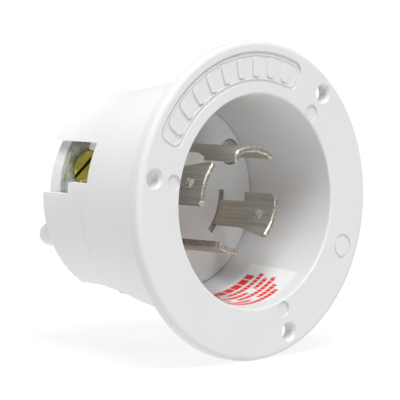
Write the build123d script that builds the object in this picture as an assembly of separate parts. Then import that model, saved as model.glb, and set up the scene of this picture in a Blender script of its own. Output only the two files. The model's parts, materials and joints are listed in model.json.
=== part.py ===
from build123d import *
import math
import os

# Flanged power inlet, four blades, three poles and ground, 30 A locking pattern.
# Each piece is drawn with the inlet's axis along Z and its open front facing +Z; write() then lays the
# axis along Y, with the front facing -Y. Depths are counted from the flange's back face, positive
# towards the rear, so a point at depth d is drawn at z = -d. Angles are seen from the front, from +X
# round towards the top. Millimetres and degrees.

# flange
FLANGE_R = 41.3
FLANGE_T = 3.5
HOLE_CIRCLE_R = 36.7
HOLE_TURN = 48.4
HOLE_COUNT = 3
HOLE_R = 2.15
SINK_R = 2.75
SINK_DEPTH = 0.9
PIN_MARK_CIRCLE_R = 30.15
PIN_MARK_R = 2.15
PIN_MARK_DEPTH = 0.55
SEAL_MARK_CIRCLE_R = 35.0
SEAL_MARK_TURN = -23.0
SEAL_MARK_R = 3.3
SEAL_MARK_WIDTH = 0.7
SEAL_MARK_DEPTH = 0.3
BADGE_IN_R = 30.7
BADGE_OUT_R = 38.7
BADGE_FROM = 64.0
BADGE_TO = 154.0
BADGE_DEPTH = 0.55
BAR_LENGTH = 5.2
BAR_WIDTH = 2.3
BADGE_BARS = 9

# recess that takes the mating connector
MOUTH_R = 27.75
FLOOR_R = 24.9
FLOOR_DEPTH = 24.0
FLOOR_T = 2.5
FLOOR_GROOVE = 0.5
CUP_WALL = 2.4
SEAT_R = 33.75
SEAT_DEPTH = -0.6

# rear skirt
SHELL_REAR = 49.6
SHELL_R = 28.2
SHELL_WALL = 2.2
SEAM_DEPTH = 32.3
SEAM_WIDTH = 0.25
SEAM_R = 29.42
WINDOW_FRONT = 29.6
WINDOW_IN_R = 18.0
WINDOW_TOP = 14.9
WINDOW_LOW = 4.3
WINDOW_STEP_LOW = 1.2
WINDOW_STEP_DEPTH = 38.8
RIB_IN_R = 22.5
RIB_OUT_R = 27.0
RIB_NEAR = 3.8
RIB_FAR = 9.0
RIB_REAR = 35.3
POST_CIRCLE_R = 25.0
POST_TURN = 25.0
POST_R = 3.2
POST_TOP = 52.7

# terminals: four, a quarter turn apart, screws on radial lines
TERMINAL_TURN = 159.5
TERMINAL_DEPTH = 38.7
WELL_R = 5.2
MODULE_FRONT = FLOOR_DEPTH + FLOOR_T + 0.05
MODULE_REAR = 45.5
MODULE_R = 25.4
HEAD_TOP_R = 24.0
HEAD_R = 4.6
HEAD_T = 2.2
SHANK_R = 2.3
SHANK_END_R = 9.0
FIT = 0.09
CLAMP_HALF = 3.5
CLAMP_TOP_R = 21.65
CLAMP_T = 1.3
NUT_HALF = 4.0
NUT_IN_R = 9.5
NUT_OUT_R = 11.9
WIRE_CIRCLE_R = 17.3
WIRE_HOLE_R = 2.9

# blades, bent from strip to the blade circle
BLADE_IN_R = 12.75
BLADE_OUT_R = 14.2
BLADE_TIP = 2.8
TIP_HOLE_R = 1.6
TIP_HOLE_DEPTH = 8.2
TIP_HOLE_TURN = 1.5
GROUND_TIP = -1.3
HOOK_DEPTH = 14.3
GROUND_HOOK_DEPTH = 10.5
TANG_FRONT = 28.3
TANG_REAR = 44.0
TANG_HALF = 4.3
TANG_SLOT_HALF = 22.5
SLOT_GAP = 0.2
TANG_RELIEF = 0.8
HOT_TURN = 157.5
NEUTRAL_TURN = -107.0
GROUND_ARC_START = 56.0
LEG_LEFT = -5.9
LEG_LOW = 10.3
LEG_BEND_R = 1.7
GROUND_TANG_SPAN = 36.0
HEAD_CORNER = 1.2

# screws through the recess floor into the terminal module
MODULE_SCREW_CIRCLE_R = 20.3
MODULE_SCREW_TURN = 34.0
MODULE_SCREW_HEAD_R = 3.3
MODULE_SCREW_END = 36.0
MODULE_SCREW_R = 1.6

# rear cap
CAP_FRONT = 45.6
CAP_R = 25.85
CAP_RIM = 2.0
CAP_DISH = 0.9
CAP_RIB_WIDTH = 1.4
FUNNEL = 1.3

# label on the recess wall
LABEL_FROM = -124.0
LABEL_TO = -47.0
LABEL_FRONT = 0.2
LABEL_REAR = 16.2
LABEL_T = 0.12

TERMINALS = {"hot_x": 0, "neutral": 90, "hot_y": 180, "ground": 270}


def spot(radius, angle, depth):
    a = math.radians(angle)
    return (radius * math.cos(a), radius * math.sin(a), -depth)


def turned(points):
    """Full turn of a (radius, depth) outline about the axis."""
    outline = Polyline([(r, 0, -d) for r, d in points], close=True)
    return revolve(make_face(outline), axis=Axis.Z)


def part_turned(points, start, end):
    """The same outline swept from one angle to another."""
    outline = Polyline([(r, 0, -d) for r, d in points], close=True)
    return Rot(0, 0, start) * revolve(make_face(outline), axis=Axis.Z, revolution_arc=end - start)


def ring(inner, outer, front, rear):
    return turned([(inner, front), (outer, front), (outer, rear), (inner, rear)])


def sector(inner, outer, start, end, front, rear):
    return part_turned([(inner, front), (outer, front), (outer, rear), (inner, rear)], start, end)


def rod(radius, angle, circle, front, rear):
    """Cylinder along the axis, centred on a circle about it."""
    x, y, z = spot(circle, angle, rear)
    return Pos(x, y, z) * extrude(Circle(radius), rear - front)


def radial_plane(angle, depth, radius):
    """Plane facing outwards at an angle; its x runs round the axis and its y runs to the front."""
    a = math.radians(angle)
    return Plane(
        origin=spot(radius, angle, depth),
        x_dir=(-math.sin(a), math.cos(a), 0),
        z_dir=(math.cos(a), math.sin(a), 0),
    )


def radial_rod(radius, angle, inner, outer, depth=TERMINAL_DEPTH):
    return extrude(radial_plane(angle, depth, inner) * Circle(radius), outer - inner)


def radial_block(half_round, half_deep, angle, inner, outer, depth=TERMINAL_DEPTH, corner=0.0):
    shape = Rectangle(2 * half_round, 2 * half_deep)
    if corner:
        shape = fillet(shape.vertices(), corner)
    return extrude(radial_plane(angle, depth, inner) * shape, outer - inner)


def terminal_angle(name):
    return TERMINAL_TURN + TERMINALS[name]


def cone_wall_r(depth):
    """Radius of the recess wall at a depth."""
    share = (depth + FLANGE_T) / (FLOOR_DEPTH + FLANGE_T)
    return MOUTH_R + (FLOOR_R - MOUTH_R) * share


def blade_outline(side):
    """Flat outline of a blade: x across the blade, y along its depth."""
    centre = {"hot": HOT_TURN, "neutral": NEUTRAL_TURN}[side]
    anchor = {"hot": TERMINAL_TURN, "neutral": TERMINAL_TURN + 90 - 360}[side]
    shift = BLADE_OUT_R * math.sin(math.radians(anchor - centre))
    head_left, head_right = {"hot": (-5.84, 5.84), "neutral": (-4.25, 4.25)}[side]
    stem_left, stem_right = {"hot": (-3.45, 3.5), "neutral": (-4.0, 1.6)}[side]
    return [
        (head_left + 0.5, BLADE_TIP),
        (head_right - 1.3, BLADE_TIP),
        (head_right, BLADE_TIP + HEAD_CORNER),
        (head_right, HOOK_DEPTH),
        (stem_right, HOOK_DEPTH),
        (stem_right, TANG_FRONT),
        (shift + TANG_HALF, TANG_FRONT),
        (shift + TANG_HALF, TANG_REAR),
        (shift - TANG_HALF, TANG_REAR),
        (shift - TANG_HALF, TANG_FRONT),
        (stem_left, TANG_FRONT),
        (stem_left, HOOK_DEPTH + 1.0),
        (head_left, BLADE_TIP + 1.6),
    ]


def curved_strip(outline, centre):
    """Cuts an outline from the tube that the blades are rolled to."""
    tube = ring(BLADE_IN_R, BLADE_OUT_R, BLADE_TIP - 8, TANG_REAR + 2)
    plane = radial_plane(centre, 0, 4)
    flat = make_face(Polyline([(x, -d) for x, d in outline], close=True))
    return tube & extrude(plane * flat, 16)


def soften_tip(blade, tip, size=0.35):
    """Small chamfer round the leading edge."""
    edges = blade.edges().filter_by(lambda e: abs(e.center().Z + tip) < 0.01)
    return chamfer(edges, size)


def screw_hole(angle):
    return radial_rod(SHANK_R + FIT, angle, 5, 20)


def hot_blade(name):
    centre = HOT_TURN + TERMINALS[name]
    blade = soften_tip(curved_strip(blade_outline("hot"), centre), BLADE_TIP)
    tip_hole = radial_rod(TIP_HOLE_R, centre + TIP_HOLE_TURN, 8, 18, TIP_HOLE_DEPTH)
    return blade - tip_hole - screw_hole(terminal_angle(name))


def neutral_blade():
    blade = soften_tip(curved_strip(blade_outline("neutral"), NEUTRAL_TURN), BLADE_TIP)
    return blade - screw_hole(terminal_angle("neutral"))


def ground_section(gap=0.0):
    """Cross-section of the ground blade: an arc whose upper-left end turns in towards the axis."""
    r_out = BLADE_OUT_R + gap
    r_in = BLADE_IN_R - gap
    start = GROUND_ARC_START - 4 * gap
    leg_left = LEG_LEFT - gap
    leg_right = LEG_LEFT + BLADE_OUT_R - BLADE_IN_R + gap
    leg_low = LEG_LOW - gap
    end_out = math.degrees(math.acos(leg_left / r_out))
    end_in = math.degrees(math.acos(leg_right / r_in))
    top_left = math.sqrt(r_out**2 - leg_left**2)
    top_right = math.sqrt(r_in**2 - leg_right**2)
    outer = CenterArc((0, 0), r_out, start, end_out - start)
    inner = CenterArc((0, 0), r_in, start, end_in - start)
    outline = [
        outer,
        Line((leg_left, top_left), (leg_left, leg_low)),
        Line((leg_left, leg_low), (leg_right, leg_low)),
        Line((leg_right, leg_low), (leg_right, top_right)),
        inner,
        Line(inner @ 0, outer @ 0),
    ]
    section = make_face(Curve() + outline)
    bend = section.vertices().sort_by(lambda v: (v.X - leg_left) ** 2 + (v.Y - top_left) ** 2)[0]
    return fillet(bend, LEG_BEND_R)


def ground_blade():
    full = Pos(0, 0, -TANG_FRONT) * extrude(ground_section(), TANG_FRONT - GROUND_TIP)
    full = soften_tip(full, GROUND_TIP)
    notch = Pos(-5.2, 9.2, -(GROUND_HOOK_DEPTH + TANG_FRONT) / 2) * Box(
        6, 6.2, TANG_FRONT - GROUND_HOOK_DEPTH + 0.02
    )
    tang_start = terminal_angle("ground") - 360 - GROUND_TANG_SPAN / 2
    tang = sector(BLADE_IN_R, BLADE_OUT_R, tang_start, tang_start + GROUND_TANG_SPAN, TANG_FRONT, TANG_REAR)
    stem_relief = sector(
        BLADE_IN_R - 1, BLADE_OUT_R + 1, 52, 60, GROUND_HOOK_DEPTH + 2, TANG_FRONT
    )
    return full - notch - stem_relief + tang - screw_hole(terminal_angle("ground"))


def blade_slots(front, rear):
    """The openings that the four blades pass through."""
    inner = BLADE_IN_R - SLOT_GAP
    outer = BLADE_OUT_R + SLOT_GAP
    cuts = [
        sector(inner, outer, HOT_TURN - 24.5, HOT_TURN + 27.5, front, rear),
        sector(inner, outer, HOT_TURN + 155.5, HOT_TURN + 207.5, front, rear),
        sector(inner, outer, NEUTRAL_TURN - 19.5, NEUTRAL_TURN + 19.5, front, rear),
        Pos(0, 0, -rear) * extrude(ground_section(SLOT_GAP), rear - front),
    ]
    return cuts


def mount_hole_cuts():
    cuts = []
    for i in range(HOLE_COUNT):
        angle = HOLE_TURN + 360 / HOLE_COUNT * i
        cuts.append(rod(HOLE_R, angle, HOLE_CIRCLE_R, -FLANGE_T - 1, 1))
        x, y, z = spot(HOLE_CIRCLE_R, angle, -FLANGE_T + SINK_DEPTH / 2)
        cuts.append(Pos(x, y, z) * Cone(HOLE_R, SINK_R, SINK_DEPTH))
        cuts.append(rod(PIN_MARK_R, angle, PIN_MARK_CIRCLE_R, -FLANGE_T - 1, -FLANGE_T + PIN_MARK_DEPTH))
    return cuts


def badge_panel():
    """Shallow curved panel with rounded corners, ready to be cut from the flange face."""
    panel = sector(BADGE_IN_R, BADGE_OUT_R, BADGE_FROM, BADGE_TO, -FLANGE_T - 1, -FLANGE_T + BADGE_DEPTH)
    return fillet(panel.edges().filter_by(Axis.Z), 3.0)


def badge_bars():
    """Plain raised bars on the panel, level with the flange face."""
    bars = []
    step = (BADGE_TO - BADGE_FROM) / (BADGE_BARS + 1)
    middle_r = (BADGE_IN_R + BADGE_OUT_R) / 2
    for i in range(BADGE_BARS):
        angle = BADGE_FROM + step * (i + 1)
        x, y, z = spot(middle_r, angle, -FLANGE_T + BADGE_DEPTH + 0.2)
        bar = extrude(SlotOverall(BAR_LENGTH, BAR_WIDTH), BADGE_DEPTH + 0.15)
        bars.append(Pos(x, y, z) * Rot(0, 0, angle) * bar)
    return bars


def rim_edges(body, radius, depth):
    """Full circular edges of one radius at one depth."""
    rims = body.edges().filter_by(GeomType.CIRCLE)
    return [e for e in rims if abs(e.radius - radius) < 0.01 and abs(e.center().Z + depth) < 0.01]


def flange_housing():
    body = turned(
        [
            (MOUTH_R, -FLANGE_T),
            (FLANGE_R, -FLANGE_T),
            (FLANGE_R, 0),
            (SEAT_R, 0),
            (SEAT_R, SEAT_DEPTH),
            (MOUTH_R + CUP_WALL, SEAT_DEPTH),
            (FLOOR_R + CUP_WALL, FLOOR_DEPTH + FLOOR_T),
            (0, FLOOR_DEPTH + FLOOR_T),
            (0, FLOOR_DEPTH),
            (FLOOR_R - FLOOR_GROOVE, FLOOR_DEPTH),
            (FLOOR_R - FLOOR_GROOVE, FLOOR_DEPTH + FLOOR_GROOVE),
            (FLOOR_R, FLOOR_DEPTH + FLOOR_GROOVE),
            (FLOOR_R, FLOOR_DEPTH),
        ]
    )
    body = fillet(rim_edges(body, FLANGE_R, -FLANGE_T), 1.3)
    body = fillet(rim_edges(body, FLANGE_R, 0), 0.5)
    body = fillet(rim_edges(body, MOUTH_R, -FLANGE_T), 0.6)
    for cut in mount_hole_cuts():
        body -= cut
    body -= badge_panel()
    for bar in badge_bars():
        body += bar
    for cut in blade_slots(FLOOR_DEPTH - 1, FLOOR_DEPTH + FLOOR_T + 1):
        body -= cut
    seal_rear = -FLANGE_T + SEAL_MARK_DEPTH
    seal = rod(SEAL_MARK_R, SEAL_MARK_TURN, SEAL_MARK_CIRCLE_R, -FLANGE_T - 1, seal_rear)
    seal -= rod(SEAL_MARK_R - SEAL_MARK_WIDTH, SEAL_MARK_TURN, SEAL_MARK_CIRCLE_R, -FLANGE_T - 1, seal_rear)
    body -= seal
    for half_turn in (0, 180):
        angle = MODULE_SCREW_TURN + half_turn
        body -= rod(MODULE_SCREW_HEAD_R + 0.3, angle, MODULE_SCREW_CIRCLE_R, FLOOR_DEPTH - 1, FLOOR_DEPTH + 1.3)
        body -= rod(MODULE_SCREW_R + 0.15, angle, MODULE_SCREW_CIRCLE_R, FLOOR_DEPTH, FLOOR_DEPTH + 4)
    return body


def shell_outline():
    """Outer radius of the rear skirt against depth, from the flange to the rear."""
    front_half = [(33.6, SEAT_DEPTH), (32.4, 12.0), (31.2, 22.0), (30.2, 28.3)]
    rear_half = [(29.3, 33.6), (28.6, 38.6), (28.25, 43.5)]
    return front_half + rear_half


def window(name, low, front):
    """Straight-sided opening through the skirt beside a terminal, open to the rear."""
    rear = SHELL_REAR + 1
    reach = FLANGE_R - WINDOW_IN_R
    middle = (WINDOW_TOP + low) / 2
    opening = Box(reach, WINDOW_TOP - low, rear - front)
    placed = Pos(-WINDOW_IN_R - reach / 2, middle, -(front + rear) / 2) * opening
    return Rot(0, 0, TERMINALS[name]) * placed


def window_rib(name, gap=0.0, front=WINDOW_FRONT):
    """Rib inside a window's upper side, set back from the skirt, beside the screw's well."""
    near = RIB_NEAR - gap
    far = RIB_FAR + gap
    rear = RIB_REAR + gap
    plane = radial_plane(terminal_angle(name), (front + rear) / 2, RIB_IN_R - gap)
    shape = Pos(-(near + far) / 2, 0) * Rectangle(far - near, rear - front)
    return extrude(plane * shape, RIB_OUT_R - RIB_IN_R + gap)


def body_shell():
    outer = shell_outline()
    flare = Spline([(r, 0, -d) for r, d in outer])
    r0, d0 = outer[0]
    r1, d1 = outer[-1]
    rear_in = SHELL_R - SHELL_WALL
    tail = Polyline(
        [
            (r1, 0, -d1),
            (SHELL_R, 0, -SHELL_REAR),
            (rear_in, 0, -SHELL_REAR),
            (rear_in, 0, -41),
            (28.2, 0, -30),
            (30.9, 0, -1),
            (30.9, 0, -SEAT_DEPTH),
            (r0, 0, -d0),
        ]
    )
    body = revolve(make_face(flare + tail), axis=Axis.Z)
    body = fillet(rim_edges(body, SHELL_R, SHELL_REAR), 0.5)
    body -= ring(SEAM_R, 36, SEAM_DEPTH, SEAM_DEPTH + SEAM_WIDTH)
    for half_turn in (0, 180):
        angle = POST_TURN + half_turn
        post = rod(POST_R, angle, POST_CIRCLE_R, MODULE_FRONT + 0.5, POST_TOP)
        x, y, z = spot(POST_CIRCLE_R, angle, POST_TOP)
        body += post + Pos(x, y, z) * Sphere(POST_R)
    for name in TERMINALS:
        body -= window(name, WINDOW_LOW, WINDOW_FRONT)
        body -= window(name, WINDOW_STEP_LOW, WINDOW_STEP_DEPTH)
        body += window_rib(name)
    return body


def terminal_module():
    body = rod(MODULE_R, 0, 0, MODULE_FRONT, MODULE_REAR)
    body = chamfer(body.edges().filter_by(GeomType.CIRCLE), 0.6)
    for cut in blade_slots(MODULE_FRONT - 1, TANG_FRONT + 0.2):
        body -= cut
    for name in TERMINALS:
        angle = terminal_angle(name)
        # the wire lies on the tang's outer face, so the slot is deeper on that side
        body -= sector(BLADE_IN_R - SLOT_GAP, BLADE_OUT_R + TANG_RELIEF, angle - TANG_SLOT_HALF,
                       angle + TANG_SLOT_HALF, MODULE_FRONT, TANG_REAR + 0.3)
        body -= radial_rod(WELL_R, angle, BLADE_OUT_R, 30)
        body -= radial_rod(SHANK_R + 0.5, angle, 7.4, 20)
        body -= radial_block(NUT_HALF + 0.15, NUT_HALF + 0.15, angle, NUT_IN_R - 0.2, BLADE_IN_R)
        body -= rod(WIRE_HOLE_R, angle, WIRE_CIRCLE_R, TERMINAL_DEPTH, MODULE_REAR + 1)
        body -= window_rib(name, 0.3, MODULE_FRONT - 1)
    for half_turn in (0, 180):
        body -= rod(POST_R + 0.2, POST_TURN + half_turn, POST_CIRCLE_R, MODULE_FRONT - 1, MODULE_REAR + 1)
        bore_end = MODULE_SCREW_END + 0.5
        angle = MODULE_SCREW_TURN + half_turn
        body -= rod(MODULE_SCREW_R, angle, MODULE_SCREW_CIRCLE_R, MODULE_FRONT - 1, bore_end)
    return body


def rear_cap():
    body = rod(CAP_R, 0, 0, CAP_FRONT, SHELL_REAR)
    body = fillet(rim_edges(body, CAP_R, SHELL_REAR), 0.5)
    dish_depth = SHELL_REAR - CAP_DISH
    body -= rod(CAP_R - CAP_RIM, 0, 0, dish_depth, SHELL_REAR + 1)
    for turn in (45, 135):
        rib = Pos(0, 0, -SHELL_REAR + CAP_DISH / 2 + 0.05) * Box(2 * CAP_R - 3, CAP_RIB_WIDTH, CAP_DISH + 0.1)
        body += Rot(0, 0, TERMINAL_TURN + turn) * rib
    for name in TERMINALS:
        angle = terminal_angle(name)
        body -= rod(WIRE_HOLE_R, angle, WIRE_CIRCLE_R, CAP_FRONT - 1, SHELL_REAR + 1)
        x, y, z = spot(WIRE_CIRCLE_R, angle, dish_depth - 0.6)
        body -= Pos(x, y, z) * Cone(WIRE_HOLE_R + FUNNEL, WIRE_HOLE_R, 1.2)
    for half_turn in (0, 180):
        body -= rod(POST_R + 0.15, POST_TURN + half_turn, POST_CIRCLE_R, CAP_FRONT - 1, SHELL_REAR + 1)
    return body


def terminal_screw(angle):
    head = radial_rod(HEAD_R, angle, HEAD_TOP_R - HEAD_T, HEAD_TOP_R)
    rims = head.edges().filter_by(GeomType.CIRCLE)
    crown = sorted(rims, key=lambda e: math.hypot(e.center().X, e.center().Y))[-1]
    head = fillet(crown, 0.7)
    slot = extrude(radial_plane(angle, TERMINAL_DEPTH, HEAD_TOP_R - 1.1)
                   * Rot(0, 0, 140) * Rectangle(12, 1.1), 3)
    shank = radial_rod(SHANK_R, angle, SHANK_END_R, HEAD_TOP_R - HEAD_T + 0.1)
    ends = shank.edges().filter_by(GeomType.CIRCLE)
    tip = sorted(ends, key=lambda e: math.hypot(e.center().X, e.center().Y))[0]
    return head + chamfer(tip, 0.4) - slot


def clamp_plate(angle):
    plate = radial_block(CLAMP_HALF, CLAMP_HALF, angle, CLAMP_TOP_R - CLAMP_T, CLAMP_TOP_R, corner=1.0)
    return plate - radial_rod(SHANK_R + FIT, angle, 15, 26)


def square_nut(angle):
    nut = radial_block(NUT_HALF, NUT_HALF, angle, NUT_IN_R, NUT_OUT_R, corner=0.5)
    return nut - radial_rod(SHANK_R + FIT, angle, 5, 20)


def module_screws():
    pair = Part()
    for half_turn in (0, 180):
        angle = MODULE_SCREW_TURN + half_turn
        head = rod(MODULE_SCREW_HEAD_R, angle, MODULE_SCREW_CIRCLE_R, FLOOR_DEPTH + 0.2, FLOOR_DEPTH + 1.3)
        front = [e for e in head.edges().filter_by(GeomType.CIRCLE) if e.center().Z > -FLOOR_DEPTH - 0.6]
        head = fillet(front, 0.5)
        x, y, z = spot(MODULE_SCREW_CIRCLE_R, angle, FLOOR_DEPTH + 0.4)
        for turn in (20, 110):
            head -= Pos(x, y, z) * Rot(0, 0, turn) * Box(3.4, 0.8, 1.2)
        shank = rod(MODULE_SCREW_R - 0.02, angle, MODULE_SCREW_CIRCLE_R, FLOOR_DEPTH + 1.2, MODULE_SCREW_END)
        pair += head + shank
    return pair


def caution_label():
    """Thin printed patch on the lower wall of the recess."""
    front_r = cone_wall_r(LABEL_FRONT) - 0.01
    rear_r = cone_wall_r(LABEL_REAR) - 0.01
    outline = [
        (front_r, LABEL_FRONT),
        (rear_r, LABEL_REAR),
        (rear_r - LABEL_T, LABEL_REAR),
        (front_r - LABEL_T, LABEL_FRONT),
    ]
    return part_turned(outline, LABEL_FROM, LABEL_TO)


def write(shape, node):
    export_step(Rot(90, 0, 0) * shape, f"parts/{node}.step")


os.makedirs("parts", exist_ok=True)
write(flange_housing(), "flange_housing")
write(body_shell(), "body_shell")
write(terminal_module(), "terminal_module")
write(rear_cap(), "rear_cap")
write(hot_blade("hot_x"), "blade_hot_x")
write(hot_blade("hot_y"), "blade_hot_y")
write(neutral_blade(), "blade_neutral")
write(ground_blade(), "blade_ground")
for pole in TERMINALS:
    write(terminal_screw(terminal_angle(pole)), f"screw_{pole}")
    write(clamp_plate(terminal_angle(pole)), f"clamp_{pole}")
    write(square_nut(terminal_angle(pole)), f"nut_{pole}")
write(module_screws(), "module_screws")
write(caution_label(), "caution_label")
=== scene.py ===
import json
import math

import bpy
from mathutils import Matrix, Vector


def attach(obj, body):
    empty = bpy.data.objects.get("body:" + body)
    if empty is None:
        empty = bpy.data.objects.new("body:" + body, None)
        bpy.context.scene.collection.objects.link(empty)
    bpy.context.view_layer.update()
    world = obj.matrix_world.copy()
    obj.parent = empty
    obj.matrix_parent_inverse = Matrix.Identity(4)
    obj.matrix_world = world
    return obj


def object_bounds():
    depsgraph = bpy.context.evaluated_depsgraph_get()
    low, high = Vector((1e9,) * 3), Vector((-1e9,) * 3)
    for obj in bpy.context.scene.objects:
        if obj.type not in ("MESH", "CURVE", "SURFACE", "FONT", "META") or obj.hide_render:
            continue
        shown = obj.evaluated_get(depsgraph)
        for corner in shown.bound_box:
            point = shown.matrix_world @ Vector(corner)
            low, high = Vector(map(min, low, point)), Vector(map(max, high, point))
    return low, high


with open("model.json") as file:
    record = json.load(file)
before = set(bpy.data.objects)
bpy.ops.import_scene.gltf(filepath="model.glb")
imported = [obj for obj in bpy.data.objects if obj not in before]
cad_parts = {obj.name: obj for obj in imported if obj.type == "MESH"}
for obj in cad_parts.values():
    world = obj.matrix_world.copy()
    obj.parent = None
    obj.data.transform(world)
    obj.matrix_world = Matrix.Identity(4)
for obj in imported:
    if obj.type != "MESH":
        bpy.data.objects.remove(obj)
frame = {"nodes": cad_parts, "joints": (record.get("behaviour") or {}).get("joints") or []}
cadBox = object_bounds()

# Flanged power inlet: white moulded housing, clear terminal block, rolled blades, screw terminals.
# Metres. The open front looks along -Y, the wiring side along +Y, and +Z is up.

mm = 0.001
nodes = frame["nodes"]
poles = ("hot_x", "neutral", "hot_y", "ground")
bpy.ops.object.select_all(action="DESELECT")
print("frame loaded, nodes:", len(nodes))


# shader nodes: one wrapper for sockets, one maker for nodes


class Wire:  # a socket, so that shader maths reads as plain expressions
    def __init__(self, bench, socket):
        self.bench = bench
        self.socket = socket

    def __add__(self, other):
        return self.bench.maths("ADD", self, other)

    def __radd__(self, other):
        return self.bench.maths("ADD", other, self)

    def __sub__(self, other):
        return self.bench.maths("SUBTRACT", self, other)

    def __rsub__(self, other):
        return self.bench.maths("SUBTRACT", other, self)

    def __mul__(self, other):
        return self.bench.maths("MULTIPLY", self, other)

    def __rmul__(self, other):
        return self.bench.maths("MULTIPLY", other, self)

    def __truediv__(self, other):
        return self.bench.maths("DIVIDE", self, other)

    def __rtruediv__(self, other):
        return self.bench.maths("DIVIDE", other, self)

    def __abs__(self):
        return self.bench.maths("ABSOLUTE", self)


class Bench:  # one node tree
    def __init__(self, tree):
        self.tree = tree

    def plug(self, socket, value):
        if isinstance(value, Wire):
            self.tree.links.new(value.socket, socket)
        else:
            socket.default_value = value

    def node(self, kind, settings=None, values=None, out=0):
        made = self.tree.nodes.new(kind)
        for key, value in (settings or {}).items():
            setattr(made, key, value)
        for key, value in (values or {}).items():
            self.plug(made.inputs[key], value)
        return Wire(self, made.outputs[out])

    def maths(self, operation, *values):
        return self.node("ShaderNodeMath", {"operation": operation}, dict(enumerate(values)))

    def vectorMaths(self, operation, first, second=None, out=0):
        values = {0: first} if second is None else {0: first, 1: second}
        return self.node("ShaderNodeVectorMath", {"operation": operation}, values, out)

    def split(self, vector):
        made = self.node("ShaderNodeSeparateXYZ", {}, {0: vector}).socket.node
        return [Wire(self, made.outputs[i]) for i in range(3)]


class Paint(Bench):  # one material
    def __init__(self, name):
        self.material = bpy.data.materials.new(name)
        self.material.use_nodes = True
        super().__init__(self.material.node_tree)
        self.surface = self.tree.nodes["Principled BSDF"]
        self.place = self.node("ShaderNodeTexCoord", out="Object")
        self.facing = self.node("ShaderNodeTexCoord", out="Normal")

    def stretched(self, scale):
        return self.node("ShaderNodeMapping", {}, {"Vector": self.place, "Scale": scale})

    def noise(self, scale, detail=3.0, rough=0.55, vector=None):
        place = vector or self.place
        values = {"Vector": place, "Scale": scale, "Detail": detail, "Roughness": rough}
        return self.node("ShaderNodeTexNoise", {}, values)

    def ramp(self, value, low, high):  # 0 below low, 1 above high, smooth between
        values = {"Value": value, "From Min": low, "From Max": high, "To Min": 0.0, "To Max": 1.0}
        return self.node("ShaderNodeMapRange", {"interpolation_type": "SMOOTHSTEP"}, values)

    def mixColour(self, share, first, second):
        values = {0: share, 6: first, 7: second}
        return self.node("ShaderNodeMix", {"data_type": "RGBA"}, values, out=2)

    def bump(self, height, distance, strength=1.0):
        values = {"Height": height, "Distance": distance, "Strength": strength}
        return self.node("ShaderNodeBump", {}, values)

    def finish(self, values):
        for key, value in values.items():
            self.plug(self.surface.inputs[key], value)
        return self.material


# camera and light

cameraPlan = {
    "pivot": (0.0, -3.0 * mm, 0.0),  # the point that the viewing angle is measured about
    "aim": (-10.3 * mm, 7.4 * mm, 0.35 * mm),  # what stands at the picture's middle
    "azimuth": -45.25,
    "elevation": 4.17,
    "distance": 0.5,
    "lens": 174.7,
    "nearest": 0.01,  # anything closer than this is not drawn
}


def makeCamera(plan):
    azimuth = math.radians(plan["azimuth"])
    elevation = math.radians(plan["elevation"])
    back = Vector((
        math.sin(azimuth) * math.cos(elevation),
        -math.cos(azimuth) * math.cos(elevation),
        math.sin(elevation),
    ))
    spot = Vector(plan["pivot"]) + back * plan["distance"]
    bpy.ops.object.camera_add(location=spot)
    camera = bpy.context.object
    camera.name = "camera"
    camera.rotation_mode = "QUATERNION"
    camera.rotation_quaternion = (Vector(plan["aim"]) - spot).to_track_quat("-Z", "Y")
    camera.data.lens = plan["lens"]
    camera.data.clip_start = plan["nearest"]
    camera.data.dof.use_dof = False
    bpy.context.scene.camera = camera


lightPlan = {
    "horizon": 0.11,  # the sky's strength low down and overhead
    "zenith": 0.44,
    "zenithFrom": 0.9,  # how high the sky reaches its full strength, 1 being straight up
    "skyTint": (0.985, 1.0, 0.985, 1),
    "backdrop": 1.03,  # the backdrop as it is seen, brighter than it lights
    "backdropTint": (1, 1, 1, 1),
    "suns": [
        # name, where it shines from, strength, softness in degrees
        ("key", (-0.20, -0.42, 0.89), 2.15, 26),
        ("front", (-0.06, -0.70, 0.71), 0.42, 10),
        ("overhead", (-0.10, 0.30, 0.93), 0.78, 60),
        ("side", (-0.66, -0.04, 0.75), 0.30, 50),
    ],
}


def makeSky(plan):
    world = bpy.data.worlds.new("studio")
    bpy.context.scene.world = world
    world.use_nodes = True
    sky = Bench(world.node_tree)
    background = sky.tree.nodes["Background"]
    height = sky.split(sky.node("ShaderNodeTexCoord", out="Generated"))[2]
    sky.plug(background.inputs["Color"], plan["skyTint"])
    sky.plug(background.inputs["Strength"], sky.node("ShaderNodeMapRange", {}, {
        "Value": height,
        "From Min": 0.0,
        "From Max": plan["zenithFrom"],
        "To Min": plan["horizon"],
        "To Max": plan["zenith"],
    }))
    seen = {"Color": plan["backdropTint"], "Strength": plan["backdrop"]}
    chosen = sky.node("ShaderNodeMixShader", {}, {
        0: sky.node("ShaderNodeLightPath", out="Is Camera Ray"),
        1: Wire(sky, background.outputs[0]),
        2: sky.node("ShaderNodeBackground", {}, seen),
    })
    sky.plug(sky.tree.nodes["World Output"].inputs["Surface"], chosen)


def makeSuns(plan):
    for name, heading, strength, softness in plan["suns"]:
        bpy.ops.object.light_add(type="SUN", location=heading)
        sun = bpy.context.object
        sun.name = name
        sun.data.energy = strength
        sun.data.angle = math.radians(softness)
        sun.rotation_mode = "QUATERNION"
        sun.rotation_quaternion = (-Vector(heading)).to_track_quat("-Z", "Y")


def makeLight(plan):
    makeSky(plan)
    makeSuns(plan)
    bpy.context.scene.view_settings.view_transform = "Standard"
    bpy.context.scene.view_settings.look = "None"


# materials: a band is where a mask starts and is full, a share is how much of it counts


def grey(level, tint=(1.0, 1.0, 1.0)):
    return (level * tint[0], level * tint[1], level * tint[2], 1.0)


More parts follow.
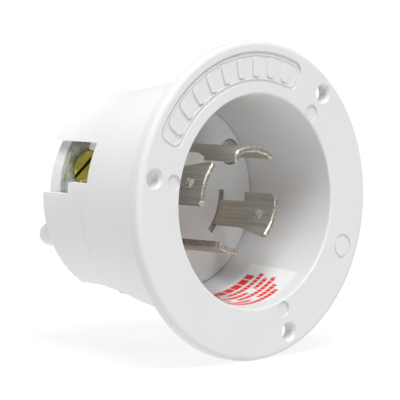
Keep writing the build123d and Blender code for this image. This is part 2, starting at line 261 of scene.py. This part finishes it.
nylonPlan = {
    "grainScale": 2600,
    "grainDepth": 0.012 * mm,
    "grainRough": 0.05,
    "flowScale": 55,
    "flowDepth": 0.05 * mm,
    "flowRough": 0.10,
    "flowDark": 0.985,  # the tone's low and high, as shares of the finish's level
    "flowLight": 1.012,
    "speckScale": 420,
    "speckBand": (0.70, 0.76),
    "speckShare": 0.12,
    "speckLevel": 0.80,
    "speckTint": (1.0, 0.99, 0.95),
    "bumpStrength": 0.8,
    "ior": 1.53,
    "specular": 0.42,
    "glow": 0.10,  # light that goes into the plastic and comes out again
    "glowTint": (1.0, 1.0, 0.95),
    "glowReach": 0.8 * mm,
}


def whiteNylon(name, level, tint, rough):
    plan = nylonPlan
    paint = Paint(name)
    flow = paint.noise(plan["flowScale"], 2.0)
    grain = paint.noise(plan["grainScale"], 2.0, 0.6)
    speck = paint.ramp(paint.noise(plan["speckScale"], 1.0), *plan["speckBand"])
    dark = grey(level * plan["flowDark"], tint)
    light = grey(level * plan["flowLight"], tint)
    speckTone = grey(level * plan["speckLevel"], plan["speckTint"])
    tone = paint.mixColour(flow, dark, light)
    height = grain * plan["grainDepth"] + flow * plan["flowDepth"]
    return paint.finish({
        "Base Color": paint.mixColour(speck * plan["speckShare"], tone, speckTone),
        "Roughness": rough + flow * plan["flowRough"] + grain * plan["grainRough"],
        "IOR": plan["ior"],
        "Specular IOR Level": plan["specular"],
        "Subsurface Weight": plan["glow"],
        "Subsurface Radius": plan["glowTint"],
        "Subsurface Scale": plan["glowReach"],
        "Normal": paint.bump(height, 1.0, plan["bumpStrength"]),
    })


clearPlan = {
    "clear": (0.93, 0.97, 0.89, 1),
    "hazy": (0.74, 0.79, 0.66, 1),
    "vein": (0.50, 0.55, 0.36, 1),
    "swirlScale": 260,
    "flowScale": 190,
    "flowStretch": (1.0, 0.25, 1.0),
    "flowShare": 1.2,
    "hazeBand": (0.40, 0.66),
    "hazeRough": 0.12,
    "veinScale": 520,
    "veinStretch": (1.0, 2.2, 0.5),
    "veinBand": (0.56, 0.64),
    "veinShare": 0.8,
    "rough": 0.05,
    "rippleDepth": 0.45 * mm,
    "bumpStrength": 0.8,
    "ior": 1.49,
    "seeThrough": 0.60,
}


def clearPlastic(plan):
    paint = Paint("clearPlastic")
    swirl = paint.noise(plan["swirlScale"], 2.0)
    flow = paint.noise(plan["flowScale"], 3.0, 0.6, paint.stretched(plan["flowStretch"]))
    haze = paint.ramp(flow, *plan["hazeBand"])
    threads = paint.noise(plan["veinScale"], 2.0, 0.5, paint.stretched(plan["veinStretch"]))
    vein = paint.ramp(threads, *plan["veinBand"])
    tone = paint.mixColour(haze, plan["clear"], plan["hazy"])
    ripple = swirl + flow * plan["flowShare"]
    return paint.finish({
        "Base Color": paint.mixColour(vein * plan["veinShare"], tone, plan["vein"]),
        "Roughness": plan["rough"] + haze * plan["hazeRough"],
        "IOR": plan["ior"],
        "Transmission Weight": plan["seeThrough"],
        "Normal": paint.bump(ripple, plan["rippleDepth"], plan["bumpStrength"]),
    })


bladePlan = {
    "body": (0.57, 0.565, 0.50, 1),
    "tarnish": (0.67, 0.58, 0.485, 1),
    "streak": (0.30, 0.29, 0.25, 1),
    # painted highlight: the colour of the glint painted on the sheared edges
    "edge": (0.88, 0.87, 0.80, 1),
    "edgeDull": (0.30, 0.29, 0.25, 1),
    "copper": (0.72, 0.36, 0.22, 1),
    "stemBand": (11.0 * mm, 20.0 * mm),  # depths between which the duller stem starts
    "stemShare": 0.7,
    "endBand": (0.35, 0.75),  # how squarely a face looks along the axis to be a sheared end
    "cornerBand": (0.30, 0.60),
    "cornerEndBand": (0.78, 0.92),
    "radialBand": (0.45, 0.80),  # how squarely a face looks away from the axis to be rolled
    "burrScale": 1700,
    "burrDepth": 0.14 * mm,
    "streakScale": 1300,
    "streakStretch": (1.0, 0.05, 1.0),
    "streakBand": (0.40, 0.72),
    "streakShare": 0.45,
    "streakDepth": 0.018 * mm,
    "streakRough": 0.20,
    "mottleScale": 330,
    "mottleShare": 0.9,
    "mottleDepth": 0.03 * mm,
    "mottleRough": 0.12,
    "copperScale": 650,
    "copperBand": (0.56, 0.66),
    "copperShare": 0.45,
    "glintBand": (0.50, 0.64),
    "glintShare": 0.42,
    "cornerGlint": 0.30,
    "cornerGlintLift": 0.10,
    "cornerPolish": 0.10,
    "metallic": 0.90,
    "rough": 0.36,
}


def bladeMetal(name, radialEdges):
    # sheared edges carry a painted highlight over a dull edge tone, strongest on the chamfered
    # corners, and turn coppery where the plating is broken
    plan = bladePlan
    paint = Paint(name)
    x, y, z = paint.split(paint.place)
    nx, ny, nz = paint.split(paint.facing)
    sheared = paint.ramp(abs(ny), *plan["endBand"])
    flatEnd = paint.ramp(abs(ny), *plan["cornerEndBand"])
    corner = paint.ramp(abs(ny), *plan["cornerBand"]) * (1.0 - flatEnd)
    if radialEdges:
        reach = paint.maths("SQRT", x * x + z * z)
        radial = abs((x * nx + z * nz) / reach)
        side = 1.0 - paint.ramp(radial, *plan["radialBand"])
        sheared = paint.maths("MAXIMUM", sheared, side)
    burr = paint.noise(plan["burrScale"], 3.0, 0.6)
    streak = paint.noise(plan["streakScale"], 4.0, 0.6, paint.stretched(plan["streakStretch"]))
    mottle = paint.noise(plan["mottleScale"], 5.0, 0.7)
    stem = paint.ramp(y, *plan["stemBand"])
    tarnish = stem * plan["stemShare"] + (mottle - 0.5) * plan["mottleShare"]
    rubbed = paint.ramp(streak, *plan["streakBand"]) * plan["streakShare"]
    faceTone = paint.mixColour(tarnish, plan["body"], plan["tarnish"])
    faceTone = paint.mixColour(rubbed, faceTone, plan["streak"])
    # painted highlight: a glint mask on the sheared edges, lifted on the chamfered corners
    bright = paint.ramp(burr + corner * plan["cornerGlintLift"], *plan["glintBand"])
    glint = bright * (plan["glintShare"] + corner * plan["cornerGlint"])
    copper = paint.ramp(paint.noise(plan["copperScale"], 2.0), *plan["copperBand"])
    edgeTone = paint.mixColour(glint, plan["edgeDull"], plan["edge"])
    edgeTone = paint.mixColour(copper * plan["copperShare"], edgeTone, plan["copper"])
    grain = streak * plan["streakDepth"] + mottle * plan["mottleDepth"]
    rough = plan["rough"] + streak * plan["streakRough"] + mottle * plan["mottleRough"]
    return paint.finish({
        "Base Color": paint.mixColour(sheared, faceTone, edgeTone),
        "Metallic": plan["metallic"],
        "Roughness": rough - corner * plan["cornerPolish"],
        "Normal": paint.bump(grain + burr * sheared * plan["burrDepth"], 1.0),
    })


headPlan = {
    "slotTurn": 140.0,
    "slotHalf": 0.58 * mm,
    "slotEdge": (0.9, 1.1),  # where the slot's painted shade ends, as shares of its half width
    "slotShade": 0.30,
    "slotShare": 0.8,
    "ringPitch": 0.22 * mm,
    "ringDepth": 0.010 * mm,
    "ringRough": 0.08,
    "blotchScale": 700,
    "blotchDepth": 0.05 * mm,
    "wearBand": (0.42, 0.66),
    "wearShare": 0.75,
    "wearRough": 0.20,
    "rough": 0.20,
}


def turnedHead(name, bright, dull, metallic, axisAt):
    # lathe rings about the screw's own axis, darker work marks, and painted shade in the driving
    # slot
    plan = headPlan
    paint = Paint(name)
    offset = paint.vectorMaths("SUBTRACT", paint.place, axisAt["point"])
    beside = paint.vectorMaths("CROSS_PRODUCT", offset, axisAt["axis"])
    reach = paint.vectorMaths("LENGTH", beside, out="Value")
    rings = paint.maths("SINE", reach * (2 * math.pi / plan["ringPitch"])) * 0.5 + 0.5
    blotch = paint.noise(plan["blotchScale"], 4.0, 0.6)
    wear = paint.ramp(blotch, *plan["wearBand"]) * plan["wearShare"]
    around = Vector(axisAt["axis"]).cross(Vector((0, 1, 0)))
    turn = math.radians(plan["slotTurn"])
    across = around * math.sin(turn) - Vector((0, -1, 0)) * math.cos(turn)
    gap = paint.vectorMaths("DOT_PRODUCT", offset, across, out="Value")
    inside, outside = (plan["slotHalf"] * share for share in plan["slotEdge"])
    # painted shade: the driving slot is darkened as if it lay in shadow
    slot = 1.0 - paint.ramp(abs(gap), inside, outside)
    tone = paint.mixColour(wear, bright, dull)
    slotShadeTone = grey(plan["slotShade"], dull)
    height = rings * plan["ringDepth"] + blotch * plan["blotchDepth"]
    return paint.finish({
        "Base Color": paint.mixColour(slot * plan["slotShare"], tone, slotShadeTone),
        "Metallic": metallic,
        "Roughness": plan["rough"] + rings * plan["ringRough"] + wear * plan["wearRough"],
        "Normal": paint.bump(height, 1.0),
    })


steelPlan = {
    "spangleScale": 1300,
    "spangleDepth": 0.03 * mm,
    "spangleRough": 0.18,
    "cloudScale": 300,
    "cloudBand": (0.35, 0.7),
    "metallic": 0.95,
}


def stampedSteel(name, bright, dull, rough):
    plan = steelPlan
    paint = Paint(name)
    spangle = paint.noise(plan["spangleScale"], 4.0, 0.65)
    cloud = paint.ramp(paint.noise(plan["cloudScale"], 3.0), *plan["cloudBand"])
    return paint.finish({
        "Base Color": paint.mixColour(cloud, bright, dull),
        "Metallic": plan["metallic"],
        "Roughness": rough + spangle * plan["spangleRough"],
        "Normal": paint.bump(spangle, plan["spangleDepth"]),
    })


labelPlan = {
    # middle depth and half height in millimetres, and last angle in degrees, of each printed row
    "rows": [
        (13.4, 1.35, -56.3),
        (10.4, 0.70, -53.2),
        (8.1, 0.70, -55.8),
        (5.9, 0.70, -53.8),
        (3.7, 0.70, -59.3),
        (1.7, 0.70, -63.2),
    ],
    "rowSoft": 0.08,  # how softly a row's edge and its end fade, in millimetres and radians
    "endSoft": 0.004,
    "rowShift": 0.37,  # how far each row's blocks are moved on from the last row's
    "tickPitch": 1.35,
    "bigTickPitch": 2.9,
    "tickBand": (0.40, 0.47),  # a block's half width, as shares of the pitch
    "gapPitches": 2.0,
    "rowSeed": 7.0,
    "printedShare": 0.86,
    "wallR": 26.0,
    "red": (0.80, 0.015, 0.012, 1),
    "film": (0.845, 0.85, 0.845, 1),
    "wearScale": 1500,
    "wearBand": (0.30, 0.42),
    "wearShare": 0.12,
    "rough": 0.24,
    "smearScale": 90,
    "smearRough": 0.12,
    "waveScale": 160,
    "waveDepth": 0.04 * mm,
    "waveStrength": 0.6,
}


def printedRow(paint, plan, i, angle, y):
    depth, half, lastAngle = plan["rows"][i]
    last = math.radians(lastAngle)
    soft = plan["rowSoft"]
    pitch = plan["bigTickPitch"] if i == 0 else plan["tickPitch"]
    inRow = 1.0 - paint.ramp(abs(y / mm - depth), half - soft, half + soft)
    before = 1.0 - paint.ramp(angle, last - plan["endSoft"], last + plan["endSoft"])
    run = angle * plan["wallR"] + plan["rowShift"] * i
    near, far = (pitch * share for share in plan["tickBand"])
    tick = 1.0 - paint.ramp(paint.maths("PINGPONG", run, pitch / 2), near, far)
    cell = paint.maths("FLOOR", run / (pitch * plan["gapPitches"])) + plan["rowSeed"] * i
    dice = paint.node("ShaderNodeTexWhiteNoise", {"noise_dimensions": "1D"}, {"W": cell})
    word = paint.maths("LESS_THAN", dice, plan["printedShare"])
    return inRow * before * tick * word


def printedLabel(plan):
    # plain bars in rows, broken into short blocks: nothing that can be read
    paint = Paint("printedLabel")
    x, y, z = paint.split(paint.place)
    angle = paint.maths("ARCTAN2", z, x)
    printed = 0.0
    for i in range(len(plan["rows"])):
        printed = printedRow(paint, plan, i, angle, y) + printed
    fresh = paint.ramp(paint.noise(plan["wearScale"], 2.0), *plan["wearBand"])
    worn = fresh * plan["wearShare"] + (1.0 - plan["wearShare"])
    wave = paint.noise(plan["waveScale"], 2.0)
    return paint.finish({
        "Base Color": paint.mixColour(printed * worn, plan["film"], plan["red"]),
        "Roughness": plan["rough"] + paint.noise(plan["smearScale"], 2.0) * plan["smearRough"],
        "Normal": paint.bump(wave, plan["waveDepth"], plan["waveStrength"]),
    })


# the carried-over parts get their finishes

turns = {
    joint["child"]: {"point": joint["pos_m"], "axis": joint["axis"]}
    for joint in frame["joints"] if joint["type"] == "hinge"
}

brassHead = ((0.93, 0.80, 0.16, 1), (0.34, 0.21, 0.03, 1), 1.0)  # bright, dull, metallic
headFinish = {
    "hot_x": brassHead,
    "hot_y": brassHead,
    "neutral": ((0.78, 0.78, 0.76, 1), (0.45, 0.45, 0.43, 1), 1.0),
    "ground": ((0.06, 0.33, 0.13, 1), (0.03, 0.19, 0.07, 1), 0.55),
}

finishes = {
    "flange": whiteNylon("flangeNylon", 0.740, (0.991, 1.0, 0.999), 0.42),
    "shell": whiteNylon("shellNylon", 0.785, (0.994, 1.0, 0.994), 0.42),
    "cap": whiteNylon("capNylon", 0.765, (0.994, 1.0, 0.985), 0.44),
    "clear": clearPlastic(clearPlan),
    "foot": bladeMetal("bladeMetal_foot", False),
}

steels = {
    # bright, dull, roughness
    "clampSteel": ((0.70, 0.71, 0.70, 1), (0.50, 0.51, 0.49, 1), 0.28),
    "nutBrass": ((0.74, 0.55, 0.22, 1), (0.50, 0.35, 0.12, 1), 0.30),
    "screwZinc": ((0.62, 0.63, 0.60, 1), (0.40, 0.40, 0.37, 1), 0.38),
}


def paintNode(name, material):
    data = nodes[name].data
    data.materials.clear()
    data.materials.append(material)


def finishNodes():
    paintNode("flange_housing", finishes["flange"])
    paintNode("body_shell", finishes["shell"])
    paintNode("rear_cap", finishes["cap"])
    paintNode("terminal_module", finishes["clear"])
    for pole in ("hot_x", "hot_y", "neutral", "ground"):
        paintNode("blade_" + pole, bladeMetal("bladeMetal_" + pole, pole != "ground"))
    for pole in poles:
        axisAt = turns["screw_" + pole + "_group"]
        head = turnedHead("turnedHead_" + pole, *headFinish[pole], axisAt)
        paintNode("screw_" + pole, head)
    metals = {name: stampedSteel(name, *look) for name, look in steels.items()}
    for pole in poles:
        paintNode("clamp_" + pole, metals["clampSteel"])
        paintNode("nut_" + pole, metals["nutBrass"])
    paintNode("module_screws", metals["screwZinc"])
    paintNode("caution_label", printedLabel(labelPlan))
    print("finishes on the carried-over parts")


# added pieces: each is built about the origin and rides on the housing

workPlan = {
    "weld": 0.001 * mm,  # points closer than this are one
    "near": 0.1 * mm,  # how close a point is to count as being there
    "smoothUnder": 35,  # edges below this many degrees are shaded smooth
    "sweepStep": 3,  # degrees
    "fewestSteps": 6,
}


def pick(piece, kind, test):
    # selects what passes the test on its middle point
    bpy.ops.object.mode_set(mode="EDIT")
    bpy.ops.mesh.select_mode(type=kind)
    bpy.ops.mesh.select_all(action="DESELECT")
    bpy.ops.object.mode_set(mode="OBJECT")
    mesh = piece.data
    if kind == "VERT":
        for vertex in mesh.vertices:
            vertex.select = test(vertex.co)
    else:
        for part in mesh.edges if kind == "EDGE" else mesh.polygons:
            corners = [mesh.vertices[i].co for i in part.vertices]
            part.select = test(sum(corners, Vector()) / len(corners))
    bpy.ops.object.mode_set(mode="EDIT")


def pickAll(kind="VERT"):
    bpy.ops.object.mode_set(mode="EDIT")
    bpy.ops.mesh.select_mode(type=kind)
    bpy.ops.mesh.select_all(action="SELECT")


def leaveEdit():
    bpy.ops.object.mode_set(mode="OBJECT")


def turnAbout(piece, turn):
    # turns a piece about the inlet's axis, counted from +X towards +Z
    piece.rotation_euler = (0, -math.radians(turn), 0)
    bpy.ops.object.transform_apply(location=False, rotation=True, scale=False)


def flatStart(name, centre, size, turn=0.0):
    # a flat start beside the axis: x is its reach from the axis and y its depth
    bpy.ops.object.select_all(action="DESELECT")
    bpy.ops.mesh.primitive_plane_add(size=1)
    piece = bpy.context.object
    piece.name = name
    piece.data.name = name
    piece.scale = (size[0], size[1], 1)
    piece.location = (centre[0], centre[1], 0)
    bpy.ops.object.transform_apply(location=True, rotation=True, scale=True)
    turnAbout(piece, turn)
    return piece


def discStart(name, plan, depth, tilt, turn):
    # a flat disc beside the axis, at the plan's reach, looking to the front or the rear
    bpy.ops.object.select_all(action="DESELECT")
    bpy.ops.mesh.primitive_circle_add(
        vertices=plan["sides"],
        radius=plan["radius"],
        fill_type="NGON",
        location=(plan["reach"], depth, 0),
        rotation=(math.radians(tilt), 0, 0),
    )
    piece = bpy.context.object
    piece.name = name
    bpy.ops.object.transform_apply(location=True, rotation=True, scale=True)
    turnAbout(piece, turn)
    return piece


def spin(degrees, steps):
    angle = math.radians(degrees)
    bpy.ops.mesh.spin(steps=steps, angle=angle, center=(0, 0, 0), axis=(0, 1, 0))


def harden(piece, modifier, settings):
    made = piece.modifiers.new(modifier.lower(), modifier)
    for key, value in settings.items():
        setattr(made, key, value)
    bpy.ops.object.modifier_apply(modifier=made.name)


def thicken(piece, depth):
    harden(piece, "SOLIDIFY", {"thickness": depth, "offset": -1.0})


def soften(piece, plan):
    settings = {"width": plan["soften"], "segments": plan["segments"], "limit_method": "ANGLE"}
    harden(piece, "BEVEL", settings)


def settle(piece, finish, body="housing"):
    piece.data.materials.clear()
    piece.data.materials.append(finish)
    bpy.ops.object.shade_smooth_by_angle(angle=math.radians(workPlan["smoothUnder"]))
    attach(piece, body)


def closeUp():
    # merged, both ends filled, and every face turned outwards
    bpy.ops.mesh.select_all(action="SELECT")
    bpy.ops.mesh.remove_doubles(threshold=workPlan["weld"])
    bpy.ops.mesh.fill_holes(sides=4)
    bpy.ops.mesh.select_all(action="SELECT")
    bpy.ops.mesh.normals_make_consistent(inside=False)
    leaveEdit()


def sweptBar(name, plan, start, end):
    # a rectangle swept round the axis, with softened edges
    centre = ((plan["inner"] + plan["outer"]) / 2, (plan["front"] + plan["rear"]) / 2)
    size = (plan["outer"] - plan["inner"], plan["rear"] - plan["front"])
    piece = flatStart(name, centre, size, start)
    bpy.ops.object.mode_set(mode="EDIT")
    bpy.ops.mesh.select_all(action="SELECT")
    steps = round((end - start) / workPlan["sweepStep"])
    spin(end - start, max(workPlan["fewestSteps"], steps))
    closeUp()
    soften(piece, plan)
    return piece


badgeBeadPlan = {
    "inner": 31.35 * mm,
    "outer": 38.05 * mm,
    "start": 65.4,
    "end": 152.6,
    "steps": 18,
    "strip": 1 * mm,  # depth of the flat start, gone once its front edge has been swept
    "corner": 2.2 * mm,
    "cornerSteps": 5,
    "width": 0.55 * mm,
    "height": 0.26 * mm,
    "face": -3.16 * mm,  # a little under the flange's front
    "soften": 0.11 * mm,
    "segments": 3,
}


def badgeCorners(plan):
    tips = []
    for reach in (plan["inner"], plan["outer"]):
        for turn in (plan["start"], plan["end"]):
            angle = math.radians(turn)
            tips.append(Vector((reach * math.cos(angle), plan["face"], reach * math.sin(angle))))
    return tips


def faceForward(piece):
    if sum(face.normal.y for face in piece.data.polygons) > 0:
        bpy.ops.object.mode_set(mode="EDIT")
        bpy.ops.mesh.select_all(action="SELECT")
        bpy.ops.mesh.flip_normals()
        leaveEdit()


def badgeBead(plan):
    # a raised line that follows the sunk panel's border
    face, near = plan["face"], workPlan["near"]
    centre = ((plan["inner"] + plan["outer"]) / 2, face - plan["strip"] / 2)
    size = (plan["outer"] - plan["inner"], plan["strip"])
    piece = flatStart("badge_bead", centre, size, plan["start"])
    pick(piece, "EDGE", lambda p: p.y > face - near)
    spin(plan["end"] - plan["start"], plan["steps"])
    leaveEdit()
    pick(piece, "FACE", lambda p: p.y < face - near)
    bpy.ops.mesh.delete(type="FACE")
    leaveEdit()
    tips = badgeCorners(plan)
    pick(piece, "VERT", lambda p: min((p - tip).length for tip in tips) < near)
    bpy.ops.mesh.bevel(offset=plan["corner"], segments=plan["cornerSteps"], affect="VERTICES")
    pickAll("FACE")
    bpy.ops.mesh.normals_make_consistent(inside=False)
    bpy.ops.mesh.inset(thickness=plan["width"], use_boundary=True)
    bpy.ops.mesh.delete(type="FACE")
    leaveEdit()
    faceForward(piece)
    thicken(piece, plan["height"])
    soften(piece, plan)
    settle(piece, finishes["flange"])


collarPlan = {
    "reach": 17.3 * mm,  # how far the wire holes stand from the axis
    "radius": 5.0 * mm,
    "sides": 56,
    "width": 0.65 * mm,
    "foot": 48.65 * mm,
    "height": 0.75 * mm,
    "soften": 0.2 * mm,
    "segments": 3,
    "turns": (69.5, 159.5, 249.5, 339.5),
}


def wireCollar(plan, turn):
    # a raised lip round a wire hole
    top = plan["foot"] + plan["height"]
    piece = discStart("wire_collar_%d" % round(turn), plan, top, -90, turn)
    pickAll("FACE")
    bpy.ops.mesh.inset(thickness=plan["width"])
    bpy.ops.mesh.delete(type="FACE")
    leaveEdit()
    thicken(piece, plan["height"])
    soften(piece, plan)
    settle(piece, finishes["cap"])


emblemPlan = {
    "reach": 35.0 * mm,
    "turn": -23.0,
    "radius": 1.55 * mm,
    "sides": 40,
    "face": -3.5 * mm,
    "sunk": 0.05 * mm,
    "height": 0.22 * mm,
    "steps": (0.30, 0.30),  # each step's width and depth, as shares of the radius and height
    "wall": 0.12 * mm,
    "soften": 0.05 * mm,
    "segments": 2,
}


def sealEmblem(plan):
    # a plain dish with two steps, in the ring mark
    piece = discStart("seal_emblem", plan, plan["face"] + plan["sunk"], 90, plan["turn"])
    pickAll("FACE")
    for share in plan["steps"]:
        move = {"value": (0, plan["height"] * share, 0)}
        bpy.ops.mesh.inset(thickness=plan["radius"] * share)
        bpy.ops.mesh.extrude_region_move(TRANSFORM_OT_translate=move)
    leaveEdit()
    thicken(piece, plan["wall"])
    soften(piece, plan)
    settle(piece, finishes["flange"])


clearBeadPlan = {
    "inner": 25.2 * mm,
    "outer": 25.85 * mm,
    "half": 0.4 * mm,
    "start": 151.5,
    "end": 169.5,
    "soften": 0.22 * mm,
    "segments": 4,
    "turns": (0, 90, 180, 270),
    "depths": (33.0, 44.4),  # millimetres
}


def clearBeads(plan):
    for turn in plan["turns"]:
        for depth in plan["depths"]:
            front, rear = depth * mm - plan["half"], depth * mm + plan["half"]
            name = "clear_bead_%d_%d" % (turn, round(depth))
            sized = dict(plan, front=front, rear=rear)
            bead = sweptBar(name, sized, plan["start"] + turn, plan["end"] + turn)
            settle(bead, finishes["clear"])


bladeFootPlan = {
    "inner": 12.82 * mm,
    "outer": 14.13 * mm,
    "front": 24.25 * mm,
    "rear": 26.8 * mm,
    "soften": 0.12 * mm,
    "segments": 2,
    # the blade slots' first and last angles
    "slots": {"hot_x": (133.4, 184.6), "hot_y": (313.4, 364.6), "neutral": (-126.1, -87.9)},
}


def bladeFeet(plan):
    for pole, (start, end) in plan["slots"].items():
        foot = sweptBar("blade_foot_" + pole, plan, start, end)
        settle(foot, finishes["foot"])


def addPieces():
    badgeBead(badgeBeadPlan)
    sealEmblem(emblemPlan)
    for turn in collarPlan["turns"]:
        wireCollar(collarPlan, turn)
    clearBeads(clearBeadPlan)
    bladeFeet(bladeFootPlan)
    print("added pieces")


floorPlan = {
    "size": 40.0,
    "cloudScale": 3.0,
    "dark": 0.155,
    "light": 0.165,
    "rough": 0.9,
    "glow": 0.83,  # keeps the shadow under the object pale
}


def paleFloor(plan):
    paint = Paint("paleFloor")
    cloud = paint.noise(plan["cloudScale"], 2.0)
    return paint.finish({
        "Base Color": paint.mixColour(cloud, grey(plan["dark"]), grey(plan["light"])),
        "Roughness": plan["rough"],
        "Specular IOR Level": 0.0,
        "Emission Color": (1, 1, 1, 1),
        "Emission Strength": plan["glow"],
    })


def makeFloor(plan):
    lowest = cadBox[0].z
    bpy.ops.mesh.primitive_plane_add(size=plan["size"], location=(0, 0, lowest))
    floor = bpy.context.object
    floor.name = "floor"
    floor.data.materials.append(paleFloor(plan))


makeCamera(cameraPlan)
makeLight(lightPlan)
makeFloor(floorPlan)
print("camera, lights and floor")
finishNodes()
addPieces()
